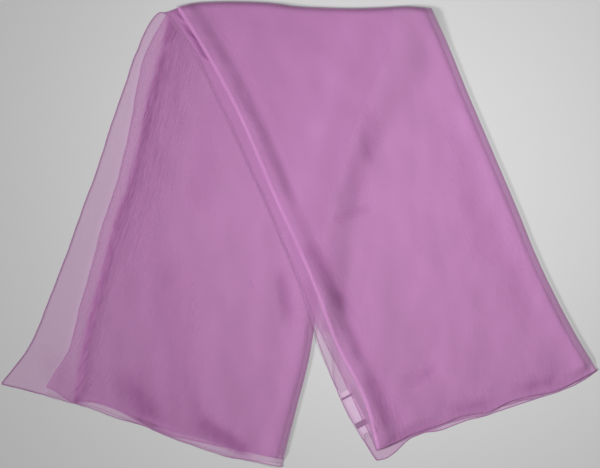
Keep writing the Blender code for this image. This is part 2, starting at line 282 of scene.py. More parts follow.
# columns: tail, quarter, edges that it spans from 0 for the hem of a to 3 for the right-hand fold, points
# from each to the next, rows, inset at the right-hand fold, inset at the crease, its column in the hem's
# table, how low it can lie, its share of the billows
LAYERS = (
    ("left", "a", (0, 1, 2, 3), (26, 18, 190), 300, 0.0, 5.0, 2, 0.35, 1.0),
    ("left", "d", (1, 2, 3), (14, 90), 180, D_INSET, 4.5, 3, 0.35, 0.7),
    ("left", "c", (2, 3), (80,), 150, D_INSET, 4.0, 4, 0.5, 0.3),
    ("left", "b", (2, 3), (80,), 150, 0.0, 3.5, 5, 0.35, 0.0),
    ("right", "b", (2, 3), (170,), 280, 0.0, 0.0, 2, 0.8, 1.0),
    ("right", "c", (2, 3), (80,), 150, C_INSET, 2.0, 3, 0.65, 0.7),
    ("right", "d", (1, 2, 3), (12, 80), 180, C_INSET, 2.5, 4, 0.5, 0.3),
    ("right", "a", (0, 1, 2, 3), (12, 12, 90), 220, 1.0, 3.0, 5, 0.35, 0.0),
)

# how unevenly a hand leaves an edge. columns: size, length of the wave, turn for each seed
WAVES = ((0.55, 19.0, 1.0), (0.4, 8.3, 2.3), (0.25, 4.1, 4.1))
# how much of that the hem of a, the hem of d and the fold b-c have
EDGE_WAVES = (0.45, 0.8, 0.9)
HEM_WAVES = 0.7


def step(value, start, end):
    """0 before start, 1 after end, smooth between."""
    share = np.clip((value - start) / (end - start), 0.0, 1.0)
    return share * share * (3.0 - 2.0 * share)


def hump(value, middle, width):
    """1 at the middle, falling smoothly to nothing on both sides."""
    return np.exp(-((value - middle) / width) ** 2)


def quarter_round(distance, radius):
    """The share of full height at a distance in from a rounded edge."""
    share = np.clip(distance / radius, 0.0, 1.0)
    return np.sqrt(1.0 - (1.0 - share) ** 2)


def wander(length, seed):
    """A small irregular sideways shift along an edge, as a hand leaves it."""
    return sum(size * np.sin(length / reach + turn * seed) for size, reach, turn in WAVES)


def smooth_rows(table, where):
    """Rows of a table read at shares of its length, on a smooth curve through them."""
    count = len(table) - 1
    spot = np.clip(np.asarray(where, float), 0.0, 1.0) * count
    low = np.minimum(spot.astype(int), count - 1)
    t = (spot - low)[:, None]
    before = table[np.maximum(low - 1, 0)]
    here = table[low]
    there = table[low + 1]
    after = table[np.minimum(low + 2, count)]
    bend = 2 * before - 5 * here + 4 * there - after
    twist = 3 * (here - there) + after - before
    return here + 0.5 * t * (there - before + t * (bend + t * twist))


def curve_at(where, xs, ys):
    """A smooth curve through points xs, ys, with xs rising, read anywhere and held level past its ends."""
    place = np.clip(where, xs[0], xs[-1])
    low = np.clip(np.searchsorted(xs, place) - 1, 0, len(xs) - 2)
    slope = np.gradient(ys, xs)
    span = xs[low + 1] - xs[low]
    t = (place - xs[low]) / span
    return (
        ys[low] * (1 + 2 * t) * (1 - t) ** 2
        + ys[low + 1] * t * t * (3 - 2 * t)
        + span * (slope[low] * t * (1 - t) ** 2 - slope[low + 1] * t * t * (1 - t))
    )


def edge_x(table, edge, y):
    """The x of one of a tail's long edges at a height y."""
    return curve_at(-y, -table[:, edge + 1], table[:, edge])


def beside(table, x, y):
    """How far a point lies past the hem of d, past the fold b-c, and inside the right-hand fold."""
    past_d = (x - edge_x(table, HEM_D, y)) * SLANT
    past_fold = (x - edge_x(table, FOLD, y)) * SLANT
    inside = (edge_x(table, RIGHT_FOLD, y) - x) * SLANT
    return past_d, past_fold, inside


def below_crease(x, y):
    """How far a point lies below the turned-over top."""
    return curve_at(x, CREASE[:, 0], CREASE[:, 1]) - y


def above_hem(x, y, hem):
    """How far a point lies above the longest layer's hem."""
    return y - curve_at(x, hem[:, 0], hem[:, 1])


def folds(x, y, table):
    """The height that the soft ridges and troughs of a table add at a point."""
    height = np.zeros_like(x)
    for x0, y0, x1, y1, width, rise in table:
        run = np.array((x1 - x0, y1 - y0), float)
        length = np.hypot(*run)
        along = ((x - x0) * run[0] + (y - y0) * run[1]) / length
        past = along - np.clip(along, 0.0, length)
        across = ((x - x0) * run[1] - (y - y0) * run[0]) / length
        height += rise * np.exp(-(across / width) ** 2 - (past / (1.5 * width)) ** 2)
    return height


def no_deeper(height):
    """Troughs that level out towards the deepest a stack of cloth can sink."""
    return np.where(height < 0.0, -DEEPEST * np.tanh(-height / DEEPEST), height)


def hollow(x, y, table, deepest):
    """How deep the troughs of a table are at a point, rising softly from nothing."""
    height = folds(x, y, table)
    softness = 0.06
    trim = 0.12
    return np.clip(0.5 * (np.sqrt(height ** 2 + softness) - height) - trim, -trim, deepest)


def edge_bulge(inside):
    """The soft swelling where a stack of cloth turns back at its right-hand fold."""
    return EDGE_BULGE * hump(inside, BULGE_IN, BULGE_WIDTH)


def left_height(x, y, spanned=False):
    """The height that the left tail's hidden layers reach: table, hem of d, then three folded layers.

    Spanned, it is the smoother surface on which the right tail lies over the swelling and past the fold.
    """
    past_d, past_fold, inside = beside(LEFT_TAIL, x, y)
    rise_from, rise_to = LEFT_FOLD_RISE
    body = step(past_fold, rise_from - BAND_SLOPE * step(y, *BAND_SLOPE_Y), rise_to)
    thick = LIP + (FOLDED - LIP) * body * step(above_hem(x, y, LEFT_HEM), *LEFT_HEM_RISE)
    soft = no_deeper(folds(x, y, LEFT_FOLDS) + folds(x, y, LEFT_CREASES))
    eased = body * step(inside, 0.0, EASE_IN)
    height = thick * step(past_d, -RISE, 0.0) + soft * eased
    if spanned:
        return height + EDGE_BULGE * body * (1.0 - step(inside, *BRIDGE))
    return height + edge_bulge(inside) * eased


def right_base(x, y):
    """The underside of the right tail: on the left tail, down beside it, over the label, on the table."""
    beyond = -beside(LEFT_TAIL, x, y)[2]
    on_left = left_height(x, y, True) + GAP + WALL + OVER_LEFT
    height = on_left * (1.0 - step(beyond, DRAPE_FROM, DRAPE_TO + DRAPE_WIDER * step(y, *DRAPE_WIDER_Y)))
    turn_x = np.cos(LABEL_TURN)
    turn_y = np.sin(LABEL_TURN)
    across = (x - LABEL_AT[0]) * turn_x + (y - LABEL_AT[1]) * turn_y
    along = (y - LABEL_AT[1]) * turn_x - (x - LABEL_AT[0]) * turn_y
    over = step(LABEL_WIDTH / 2 + LABEL_REACH - np.abs(across), 0.0, LABEL_SLOPE)
    over = over * step(LABEL_LENGTH / 2 + LABEL_REACH - np.abs(along), 0.0, LABEL_SLOPE)
    return np.maximum(height, 0.0) + LABEL_LIFT * over


def right_thickness(x, y):
    """How much the right tail's four layers add to its underside."""
    past_d, past_fold, inside = beside(RIGHT_TAIL, x, y)
    hem = step(above_hem(x, y, RIGHT_HEM), *RIGHT_HEM_RISE)
    thick = LIP + HEM_LAYER * step(past_d, *RIGHT_D_RISE)
    thick = thick + (FOLDED - LIP - HEM_LAYER) * quarter_round(past_fold + 0.5, FRONT_ROLL) * hem
    uneven = RIDGE_LOW + RIDGE_MORE * step(y, *RIDGE_MORE_Y) + RIDGE_UNEVEN * wander(1.3 * y, 2.0)
    ridge = RIDGE_LIFT * uneven * step(past_fold, *RIDGE_CLIMB) * (1.0 - step(past_fold, *RIDGE_FALL))
    small = folds(x, y, RIGHT_CREASES) * step(past_fold, 0.0, 8.0)
    soft = (folds(x, y, RIGHT_FOLDS) + edge_bulge(inside)) * step(past_fold, 0.0, EASE_IN)
    return thick + (ridge + no_deeper(soft + small) * step(inside, 0.0, EASE_IN_RIGHT)) * hem


def crumples(x, y, past_fold):
    """How much the cloth is crumpled in a narrow strip beside the front fold, near the turned-over top."""
    strip = hump(past_fold, CRUMPLE_AT, CRUMPLE_WIDTH) * step(y, *CRUMPLE_Y)
    return strip * np.clip(0.7 + 0.8 * wander(2.6 * y + 1.4 * x, 5.0), 0.0, 1.4)


def left_layer_height(quarter, x, y):
    """Height of one of the left tail's layers, with its folds closed at the tail's long edges."""
    top = left_height(x, y)
    _, past_fold, inside = beside(LEFT_TAIL, x, y)
    if quarter == "b":
        return FOOT + np.zeros_like(x)
    if quarter == "a":
        over = top + UNDER_TOP - FOOT + OVER_D * step(top, *OVER_D_FROM)
        return FOOT + over * quarter_round(inside, EDGE_ROLL)
    if quarter == "c":
        closed = quarter_round(past_fold, INNER_ROLL) * step(past_fold, -0.5, 0.5)
        return FOOT + (0.5 * top - FOOT) * closed
    d = top - UNDER_TOP
    middle = 0.5 * top
    folded = middle + (d - middle) * quarter_round(inside - D_INSET, INNER_ROLL)
    return np.where(past_fold > FOLD_MEETS, folded, d)


def right_layer_height(quarter, x, y):
    """Height of one of the right tail's layers, with its folds closed at the long edges and the crease."""
    _, past_fold, inside = beside(RIGHT_TAIL, x, y)
    down = below_crease(x, y)
    under = right_base(x, y) + CRUMPLE_LIFT * crumples(x, y, past_fold)
    thick = right_thickness(x, y)
    c = under + thick - UNDER_TOP
    if quarter == "a":
        flat = step(inside, 0.0, A_EDGE)
        height = (under + FOOT) * flat + FOOT * (1.0 - flat)
        return FOOT + (height - FOOT) * quarter_round(down - 3.0, CREASE_ROLL)
    if quarter == "b":
        height = c + (UNDER_TOP + WALL) * quarter_round(past_fold, FRONT_ROLL)
        height = FOOT + (height - FOOT) * quarter_round(inside, EDGE_ROLL)
        return FOOT + (height - FOOT) * quarter_round(down, CREASE_ROLL)
    height = under + CORE_SHARE * thick
    if quarter == "c":
        height = height + (c - height) * quarter_round(inside - C_INSET, INNER_ROLL)
    height = FOOT + (height - FOOT) * quarter_round(inside, EDGE_ROLL)
    return FOOT + (height - FOOT) * quarter_round(down - 2.0, CREASE_ROLL)


def crinkle_amount(tail, x, y):
    """Where the crepe crinkles most: beside the hidden fold of the left tail, little on the right tail."""
    if tail == "right":
        return 0.25 + 0.15 * step(y, -200.0, -320.0)
    _, past_fold, _ = beside(LEFT_TAIL, x, y)
    lower = step(y, -80.0, 120.0)
    return 0.3 + (0.5 + 0.5 * lower) * hump(past_fold, 18.0, 42.0)


def doubled_and_painted_shade_amount(tail, x, y):
    """How dark the cloth is drawn: doubled up and seen on edge at folded edges and the turned-over top,
    with painted shade in creases, troughs, crumples and streaks.
    """
    _, past_fold, inside = beside(TABLES[tail][0], x, y)
    if tail == "left":
        edge = GATHER_EDGE_LEFT * (1.0 - step(inside, 2.0, 12.0))
        # doubled cloth and painted shade in the hidden fold; painted shade in its streaks, troughs and
        # creases
        fold = FOLD_DOUBLED_AND_PAINTED_SHADE * hump(past_fold, 1.5, np.where(past_fold < 1.5, 4.5, 9.0))
        streaks = STREAK_PAINTED_SHADE * hump(past_fold, 24.0, 26.0) * step(y, -120.0, 120.0)
        soft = TROUGH_PAINTED_SHADE_LEFT * hollow(x, y, LEFT_FOLDS, 2.5)
        sharp = CREASE_PAINTED_SHADE * hollow(x, y, LEFT_CREASES, 2.0)
        return np.clip(edge + fold + streaks + soft + sharp, 0.0, DOUBLED_AND_PAINTED_SHADE_MOST)
    # doubled and seen on edge at the edges and the turned-over top; painted shadow in the crumples; doubled
    # cloth and painted shade in the strip; painted shade in troughs and creases
    edge = GATHER_EDGE_RIGHT * (1.0 - step(inside, 2.0, 10.0))
    turned = GATHER_TURNED * (1.0 - step(below_crease(x, y), 1.0, 8.0))
    crumpled = CRUMPLE_PAINTED_SHADOW * crumples(x, y, past_fold)
    strip = STRIP_DOUBLED_AND_PAINTED_SHADE * hump(past_fold, -7.0, 7.0) * step(y, -158.0, -138.0) * step(y, -60.0, -90.0)
    soft = TROUGH_PAINTED_SHADE_RIGHT * hollow(x, y, RIGHT_FOLDS, 2.0) * step(past_fold, 2.0, 14.0)
    sharp = CREASE_PAINTED_SHADE * hollow(x, y, RIGHT_CREASES, 2.0)
    return np.clip(edge + turned + crumpled + strip + soft + sharp, 0.0, DOUBLED_AND_PAINTED_SHADE_MOST)


def billow_amount(tail, share, x, y):
    """Where the cloth is free to billow: inside its edges, less in the layers near the table."""
    table, hem = TABLES[tail]
    _, past_fold, inside = beside(table, x, y)
    free = step(past_fold, *BILLOW_FOLD) * step(inside, *BILLOW_EDGE)
    free = free * step(below_crease(x, y), *BILLOW_CREASE)
    return share * free * step(above_hem(x, y, hem), *BILLOW_HEM)


def crowded(count, crowd):
    """Shares from 0 to 1, closer together at both ends."""
    even = np.linspace(0.0, 1.0, count)
    return even - crowd * np.sin(2 * np.pi * even) / (2 * np.pi)


def layer_plan(tail, spans, cells, rows, right_inset, crease_inset, hem_column, corner_round):
    """Plan of one layer: x, y for each row and column, and the same points measured in the flat cloth."""
    table, hem = TABLES[tail]
    shares = crowded(rows, 0.75)
    keys = smooth_rows(table, shares).reshape(rows, 4, 2)
    bow = np.sin(np.pi * np.sqrt(np.clip(shares / CORNER_TO, 0.0, 1.0)))[:, None]
    keys[:, 0] += corner_round * bow * np.array(CORNER_WAY)
    for key, amount in enumerate(EDGE_WAVES):
        shift = amount * wander(keys[:, key, 1], 1.7 * key + hem_column)
        keys[:, key, 0] += shift * step(shares, 0.0, 0.06)
    inward = keys[:, 2] - keys[:, 3]
    keys[:, 3] += right_inset * inward / np.linalg.norm(inward, axis=1)[:, None]
    parts = []
    for index, count in enumerate(cells):
        start = keys[:, spans[index]]
        end = keys[:, spans[index + 1]]
        places = crowded(count, 0.8)[(1 if index else 0):]
        parts.append(start[:, None] + (end - start)[:, None] * places[None, :, None])
    plan = np.concatenate(parts, axis=1)
    lift = below_crease(plan[0, :, 0], plan[0, :, 1]) - crease_inset
    near_crease = (1.0 - step(shares, 0.0, 0.25))[:, None]
    plan[:, :, 1] += near_crease * lift[None, :]
    last_x = plan[-1, :, 0]
    wanted = curve_at(last_x, hem[:, 0], hem[:, 1]) + curve_at(last_x, hem[:, 0], hem[:, hem_column])
    wanted = wanted + HEM_WAVES * np.abs(wander(last_x, 0.9 * hem_column))
    near_hem = step(shares, 0.8, 1.0)[:, None]
    plan[:, :, 1] += near_hem * (wanted - plan[-1, :, 1])[None, :]
    across = np.cumsum(np.linalg.norm(np.diff(plan, axis=1, prepend=plan[:, :1]), axis=2), axis=1)
    along = np.cumsum(np.linalg.norm(np.diff(plan, axis=0, prepend=plan[:1]), axis=2), axis=0)
    return plan, np.stack([across, along], axis=2)


def new_object(name, mesh):
    """An object for a mesh, in the scene."""
    piece = bpy.data.objects.new(name, mesh)
    bpy.context.scene.collection.objects.link(piece)
    return piece


def grid_object(name, points, flat, worked):
    """A sheet of quads through a grid of points, with its flat measure and how much it is worked."""
    rows, cols = points.shape[:2]
    places = points.reshape(-1, 3) + np.array((*MIDDLE, 0.0))
    first = (np.arange(rows - 1)[:, None] * cols + np.arange(cols - 1)[None, :]).reshape(-1)
    quads = np.stack([first, first + cols, first + cols + 1, first + 1], axis=1)
    corners = quads.reshape(-1)
    mesh = bpy.data.meshes.new(name)
    mesh.vertices.add(len(places))
    mesh.vertices.foreach_set("co", (places * MM).reshape(-1).astype(np.float32))
    mesh.loops.add(quads.size)
    mesh.loops.foreach_set("vertex_index", corners.astype(np.int32))
    mesh.polygons.add(len(quads))
    mesh.polygons.foreach_set("loop_start", (np.arange(len(quads)) * 4).astype(np.int32))
    mesh.polygons.foreach_set("use_smooth", np.ones(len(quads), bool))
    mesh.update()
    cloth = mesh.uv_layers.new(name="cloth")
    cloth.data.foreach_set("uv", (flat.reshape(-1, 2)[corners] * MM).reshape(-1).astype(np.float32))
    for key, values in worked.items():
        strength = mesh.attributes.new(key, "FLOAT", "POINT")
        strength.data.foreach_set("value", values.reshape(-1).astype(np.float32))
    return new_object(name, mesh)


def linear(hex_colour):
    """An sRGB hex value as linear red, green, blue, 1."""
    parts = [int(hex_colour[i:i + 2], 16) / 255 for i in (1, 3, 5)]
    return (*[p / 12.92 if p <= 0.04045 else ((p + 0.055) / 1.055) ** 2.4 for p in parts], 1.0)


# kinds of node and settings that come back often
MATH = "ShaderNodeMath"
NOISE = "ShaderNodeTexNoise"
MIX = "ShaderNodeMix"
NAMED = "GeometryNodeInputNamedAttribute"
SET_MATERIAL = "GeometryNodeSetMaterial"
PLUS = {"operation": "ADD"}
MINUS = {"operation": "SUBTRACT"}
TIMES = {"operation": "MULTIPLY"}
OVER = {"operation": "DIVIDE"}
COLOURS = {"data_type": "RGBA"}


def add(tree, kind, settings=None, links=None):
    """One node, with its own settings, and each input set to a value or joined to another node's output."""
    node = tree.nodes.new(kind)
    for key, value in (settings or {}).items():
        setattr(node, key, value)
    for key, value in (links or {}).items():
        if isinstance(value, bpy.types.NodeSocket):
            tree.links.new(value, node.inputs[key])
        else:
            node.inputs[key].default_value = value
    return node


def new_tree(name, inputs):
    """A Geometry Nodes tree: geometry in and out, numbers, and a material where an input's value is None."""
    tree = bpy.data.node_groups.new(name, "GeometryNodeTree")
    tree.interface.new_socket("Geometry", in_out="INPUT", socket_type="NodeSocketGeometry")
    for key, value in inputs.items():
        kind = "NodeSocketMaterial" if value is None else "NodeSocketFloat"
        socket = tree.interface.new_socket(key, in_out="INPUT", socket_type=kind)
        if value is not None:
            socket.default_value = value
    tree.interface.new_socket("Geometry", in_out="OUTPUT", socket_type="NodeSocketGeometry")
    return tree, tree.nodes.new("NodeGroupInput").outputs, tree.nodes.new("NodeGroupOutput")


def grown(piece, tree, values):
    """The piece with a tree's result as its plain mesh."""
    modifier = piece.modifiers.new(tree.name, "NODES")
    modifier.node_group = tree
    for item in tree.interface.items_tree:
        if item.in_out == "INPUT" and item.name in values:
            modifier[item.identifier] = values[item.name]
    graph = bpy.context.evaluated_depsgraph_get()
    graph.update()
    result = piece.evaluated_get(graph)
    mesh = bpy.data.meshes.new_from_object(result, preserve_all_data_layers=True, depsgraph=graph)
    piece.modifiers.remove(modifier)
    old = piece.data
    piece.data = mesh
    bpy.data.meshes.remove(old)
    mesh.name = piece.name
    return piece


def crinkle_tree():
    """Crepe crinkles and billows: the cloth lifted by a noise drawn out along it and by a broad one."""
    tree, given, out = new_tree("crepe_crinkles", {
        "Crinkle height": 1.3 * MM,
        "Crinkle width": 4.2 * MM,
        "Crinkle length": 26.0 * MM,
        "Billow height": 4.5 * MM,
        "Billow size": 46.0 * MM,
        "Lowest": 0.3 * MM,
        "Seed": 3.0,
        "Material": None,
    })
    flat = add(tree, NAMED, {"data_type": "FLOAT_VECTOR"}, {"Name": "cloth"})
    parts = add(tree, "ShaderNodeSeparateXYZ", None, {0: flat.outputs["Attribute"]})
    wide = add(tree, MATH, OVER, {0: parts.outputs["X"], 1: given["Crinkle width"]})
    long = add(tree, MATH, OVER, {0: parts.outputs["Y"], 1: given["Crinkle length"]})
    place = add(tree, "ShaderNodeCombineXYZ", None, {"X": wide.outputs[0], "Y": long.outputs[0]})
    noise = add(tree, NOISE, {"noise_dimensions": "4D"}, {
        "Vector": place.outputs[0], "W": given["Seed"], "Scale": 1.0, "Detail": 2.0, "Distortion": 0.4,
    })
    crinkled = add(tree, NAMED, {"data_type": "FLOAT"}, {"Name": "crinkle"})
    wave = add(tree, MATH, MINUS, {0: noise.outputs[0], 1: 0.5})
    shared = add(tree, MATH, TIMES, {0: wave.outputs[0], 1: crinkled.outputs["Attribute"]})
    sized = add(tree, MATH, TIMES, {0: shared.outputs[0], 1: given["Crinkle height"]})
    where = add(tree, "GeometryNodeInputPosition")
    level = add(tree, "ShaderNodeVectorMath", TIMES, {0: where.outputs[0], 1: (1.0, 0.6, 0.0)})
    spread = add(tree, MATH, OVER, {0: 1.0, 1: given["Billow size"]})
    billow = add(tree, NOISE, {"noise_dimensions": "3D"}, {
        "Vector": level.outputs[0], "Scale": spread.outputs[0], "Detail": 1.5, "Roughness": 0.45,
    })
    free = add(tree, NAMED, {"data_type": "FLOAT"}, {"Name": "billow"})
    swell = add(tree, MATH, MINUS, {0: billow.outputs[0], 1: 0.5})
    swollen = add(tree, MATH, TIMES, {0: swell.outputs[0], 1: free.outputs["Attribute"]})
    raised = add(tree, MATH, TIMES, {0: swollen.outputs[0], 1: given["Billow height"]})
    both = add(tree, MATH, PLUS, {0: sized.outputs[0], 1: raised.outputs[0]})
    here = add(tree, "ShaderNodeSeparateXYZ", None, {0: where.outputs[0]})
    down = add(tree, MATH, MINUS, {0: given["Lowest"], 1: here.outputs["Z"]})
    kept = add(tree, MATH, {"operation": "MAXIMUM"}, {0: both.outputs[0], 1: down.outputs[0]})
    offset = add(tree, "ShaderNodeCombineXYZ", None, {"Z": kept.outputs[0]})
    moved = add(tree, "GeometryNodeSetPosition", None, {
        "Geometry": given["Geometry"], "Offset": offset.outputs[0],
    })
    real = add(tree, "GeometryNodeRealizeInstances", None, {"Geometry": moved.outputs[0]})
    dressed = add(tree, SET_MATERIAL, None, {"Geometry": real.outputs[0], "Material": given["Material"]})
    tree.links.new(dressed.outputs[0], out.inputs[0])
    return tree


def hem_tree():
    """A rolled hem along an edge: a flattened roll of cloth, and one stitch after another beside it."""
    tree, given, out = new_tree("rolled_hem", {
        "Roll width": HEM_WIDTH * MM,
        "Roll height": HEM_HEIGHT * MM,
        "Roll step": HEM_STEP * MM,
        "Stitch pitch": STITCH_PITCH * MM,
        "Stitch length": STITCH_LENGTH * MM,
        "Stitch width": STITCH_WIDTH * MM,
        "Stitch lift": STITCH_UP * MM,
        "Cloth": None,
        "Thread": None,
    })
    curve = add(tree, "GeometryNodeMeshToCurve", None, {"Mesh": given["Geometry"]})
    even = add(tree, "GeometryNodeResampleCurve", {"mode": "LENGTH"}, {
        "Curve": curve.outputs[0], "Length": given["Roll step"],
    })
    upright = add(tree, "GeometryNodeSetCurveNormal", {"mode": "Z_UP"}, {"Curve": even.outputs[0]})
    circle = add(tree, "GeometryNodeCurvePrimitiveCircle", None, {"Resolution": 8, "Radius": 0.5})
    size = add(tree, "ShaderNodeCombineXYZ", None, {
        "X": given["Roll width"], "Y": given["Roll height"], "Z": 1.0,
    })
    section = add(tree, "GeometryNodeTransform", None, {
        "Geometry": circle.outputs[0], "Scale": size.outputs[0],
    })
    roll = add(tree, "GeometryNodeCurveToMesh", None, {
        "Curve": upright.outputs[0], "Profile Curve": section.outputs[0], "Fill Caps": True,
    })
    smooth = add(tree, "GeometryNodeSetShadeSmooth", None, {"Geometry": roll.outputs[0]})
    spots = add(tree, "GeometryNodeCurveToPoints", {"mode": "LENGTH"}, {
        "Curve": upright.outputs[0], "Length": given["Stitch pitch"],
    })
    stitch_size = add(tree, "ShaderNodeCombineXYZ", None, {
        "X": given["Stitch width"], "Y": given["Stitch width"], "Z": given["Stitch length"],
    })
    cube = add(tree, "GeometryNodeMeshCube", None, {"Size": stitch_size.outputs[0]})
    stitch = add(tree, "GeometryNodeStoreNamedAttribute", {"data_type": "BOOLEAN", "domain": "FACE"}, {
        "Geometry": cube.outputs["Mesh"], "Name": "stitch", "Value": True,
    })
    up = add(tree, "ShaderNodeCombineXYZ", None, {"Z": given["Stitch lift"]})
    raised = add(tree, "GeometryNodeSetPosition", None, {
        "Geometry": spots.outputs["Points"], "Offset": up.outputs[0],
    })
    placed = add(tree, "GeometryNodeInstanceOnPoints", None, {
        "Points": raised.outputs[0], "Instance": stitch.outputs[0], "Rotation": spots.outputs["Rotation"],
    })
    both = add(tree, "GeometryNodeJoinGeometry")
    tree.links.new(placed.outputs[0], both.inputs[0])
    tree.links.new(smooth.outputs[0], both.inputs[0])
    real = add(tree, "GeometryNodeRealizeInstances", None, {"Geometry": both.outputs[0]})
    silk = add(tree, SET_MATERIAL, None, {"Geometry": real.outputs[0], "Material": given["Cloth"]})
    stitches = add(tree, NAMED, {"data_type": "BOOLEAN"}, {"Name": "stitch"})
    dressed = add(tree, SET_MATERIAL, None, {
        "Geometry": silk.outputs[0], "Selection": stitches.outputs["Attribute"], "Material": given["Thread"],
    })
    tree.links.new(dressed.outputs[0], out.inputs[0])
    return tree


def new_material(name, sockets):
    """A Principled material, with what is the same all over it set on the shader's own sockets."""
    made = bpy.data.materials.new(name)
    made.use_nodes = True
    shader = made.node_tree.nodes["Principled BSDF"]
    for key, value in sockets.items():
        shader.inputs[key].default_value = value
    return made, made.node_tree, shader.inputs


# Georgette as it is made and seen. Threads stand 0.35 mm apart and the crepe's pebbled grain is about 0.5 mm.
# Both are too fine to show from three metres, so the grain is drawn coarser, 2.2 mm across, and the threads
# stay at their own spacing as the finest relief. The crinkles are drawn 3.6 by 24 mm.
THREAD_SPACING = 0.35
THREAD_RELIEF = 0.03
GRAIN_SIZE = 2.2
GRAIN_RELIEF = 0.12
CRINKLE_SIZE = (3.6, 24.0)
DYE_PATCH = 70.0
DYE_DEEPER = 0.88
# the deeper colour and alpha of doubled cloth, also used as painted shade in creases, troughs and crumples
DOUBLED_AND_PAINTED_SHADE_TINT = (0.56, 0.46, 0.55)
DOUBLED_AND_PAINTED_SHADE_ALPHA = 0.8


def georgette(name, hex_colour, alpha, streak):
    """Silk georgette, crepe-woven and piece-dyed: sheer, nearly matt, with a dry pebbled surface.

    Hard-twisted threads leave open squares between them, so a share of what lies below shows through, and
    less where the cloth is doubled. The twist pulls the cloth into fine crinkles, drawn out along the tail.
    Where the cloth is doubled, and where shade is painted into its creases, troughs and crumples, its colour
    is deeper and more of what lies below is hidden.
    """
    dye = linear(hex_colour)
    deeper = (*[part * DYE_DEEPER for part in dye[:3]], 1.0)
    doubled_and_painted_shade_dye = (*[part * tint for part, tint in zip(dye, DOUBLED_AND_PAINTED_SHADE_TINT)], 1.0)
    made, tree, shader = new_material(name, {
        "Roughness": 0.62,
        "IOR": 1.45,
        "Specular IOR Level": 0.2,
        "Sheen Weight": 0.12,
        "Sheen Roughness": 0.4,
        "Sheen Tint": linear("#E6C4E2"),
    })
    flat = add(tree, "ShaderNodeUVMap", {"uv_map": "cloth"})
    threads = add(tree, "ShaderNodeVectorMath", {"operation": "SCALE"}, {
        0: flat.outputs[0], "Scale": 1.0 / (THREAD_SPACING * MM),
    })
    weave = add(tree, "ShaderNodeTexChecker", None, {"Vector": threads.outputs[0], "Scale": 1.0})
    drawn = add(tree, "ShaderNodeMapping", None, {
        "Vector": flat.outputs[0], "Scale": (*[1.0 / (size * MM) for size in CRINKLE_SIZE], 1.0),
    })
    crepe = add(tree, NOISE, None, {
        "Vector": drawn.outputs[0], "Scale": 1.0, "Detail": 3.0, "Roughness": 0.6, "Distortion": 0.6,
    })
    grain = add(tree, NOISE, None, {
        "Vector": flat.outputs[0], "Scale": 1.0 / (GRAIN_SIZE * MM), "Detail": 2.0, "Roughness": 0.7,
    })
    crinkled = add(tree, "ShaderNodeAttribute", {"attribute_name": "crinkle"})
    strong = add(tree, MATH, TIMES, {0: crinkled.outputs["Fac"], 1: streak})
    creped = add(tree, MATH, TIMES, {0: crepe.outputs[0], 1: strong.outputs[0]})
    fine = add(tree, MATH, TIMES, {0: grain.outputs[0], 1: GRAIN_RELIEF * MM})
    woven = add(tree, MATH, TIMES, {0: weave.outputs["Fac"], 1: THREAD_RELIEF * MM})
    relief = add(tree, MATH, PLUS, {0: creped.outputs[0], 1: fine.outputs[0]})
    total = add(tree, MATH, PLUS, {0: relief.outputs[0], 1: woven.outputs[0]})
    bump = add(tree, "ShaderNodeBump", None, {"Height": total.outputs[0], "Distance": 1.0, "Strength": 0.8})
    cloudy = add(tree, NOISE, None, {
        "Vector": flat.outputs[0], "Scale": 1.0 / (DYE_PATCH * MM), "Detail": 3.0,
    })
    dyed = add(tree, MIX, COLOURS, {0: cloudy.outputs[0], 6: deeper, 7: dye})
    # painted shade: doubled cloth, and shade painted into creases, troughs and crumples, deepen the dye and
    # hide more of what lies below
    doubled_and_painted_shade_read = add(tree, "ShaderNodeAttribute", {"attribute_name": "doubled_and_painted_shade"})
    uneven = add(tree, "ShaderNodeMapRange", None, {
        "Value": crepe.outputs[0], "From Min": 0.36, "From Max": 0.64, "To Min": 0.15, "To Max": 1.7,
    })
    mottled = add(tree, MIX, {"data_type": "FLOAT"}, {
        0: crinkled.outputs["Fac"], 2: 1.0, 3: uneven.outputs[0],
    })
    doubled_and_painted_shade_mix = add(tree, MATH, {"operation": "MULTIPLY", "use_clamp": True}, {
        0: doubled_and_painted_shade_read.outputs["Fac"], 1: mottled.outputs[0],
    })
    colour = add(tree, MIX, COLOURS, {0: doubled_and_painted_shade_mix.outputs[0], 6: dyed.outputs[2], 7: doubled_and_painted_shade_dye})
    close = add(tree, "ShaderNodeMapRange", None, {
        "Value": doubled_and_painted_shade_mix.outputs[0], "To Min": alpha, "To Max": DOUBLED_AND_PAINTED_SHADE_ALPHA,
    })
    tree.links.new(colour.outputs[2], shader["Base Color"])
    tree.links.new(close.outputs[0], shader["Alpha"])
    tree.links.new(bump.outputs[0], shader["Normal"])
    return made


def sewing_thread():
    """Silk sewing thread, spun and dyed to match: a fine line a little deeper than the cloth."""
    made, tree, shader = new_material("silk_thread_spun", {"Roughness": 0.5})
    place = add(tree, "ShaderNodeTexCoord")
    twist = add(tree, NOISE, None, {"Vector": place.outputs["Object"], "Scale": 1.0 / (0.4 * MM)})
    colour = add(tree, MIX, COLOURS, {0: twist.outputs[0], 6: linear("#7E4E78"), 7: linear("#A0709A")})
    tree.links.new(colour.outputs[2], shader["Base Color"])
    return made


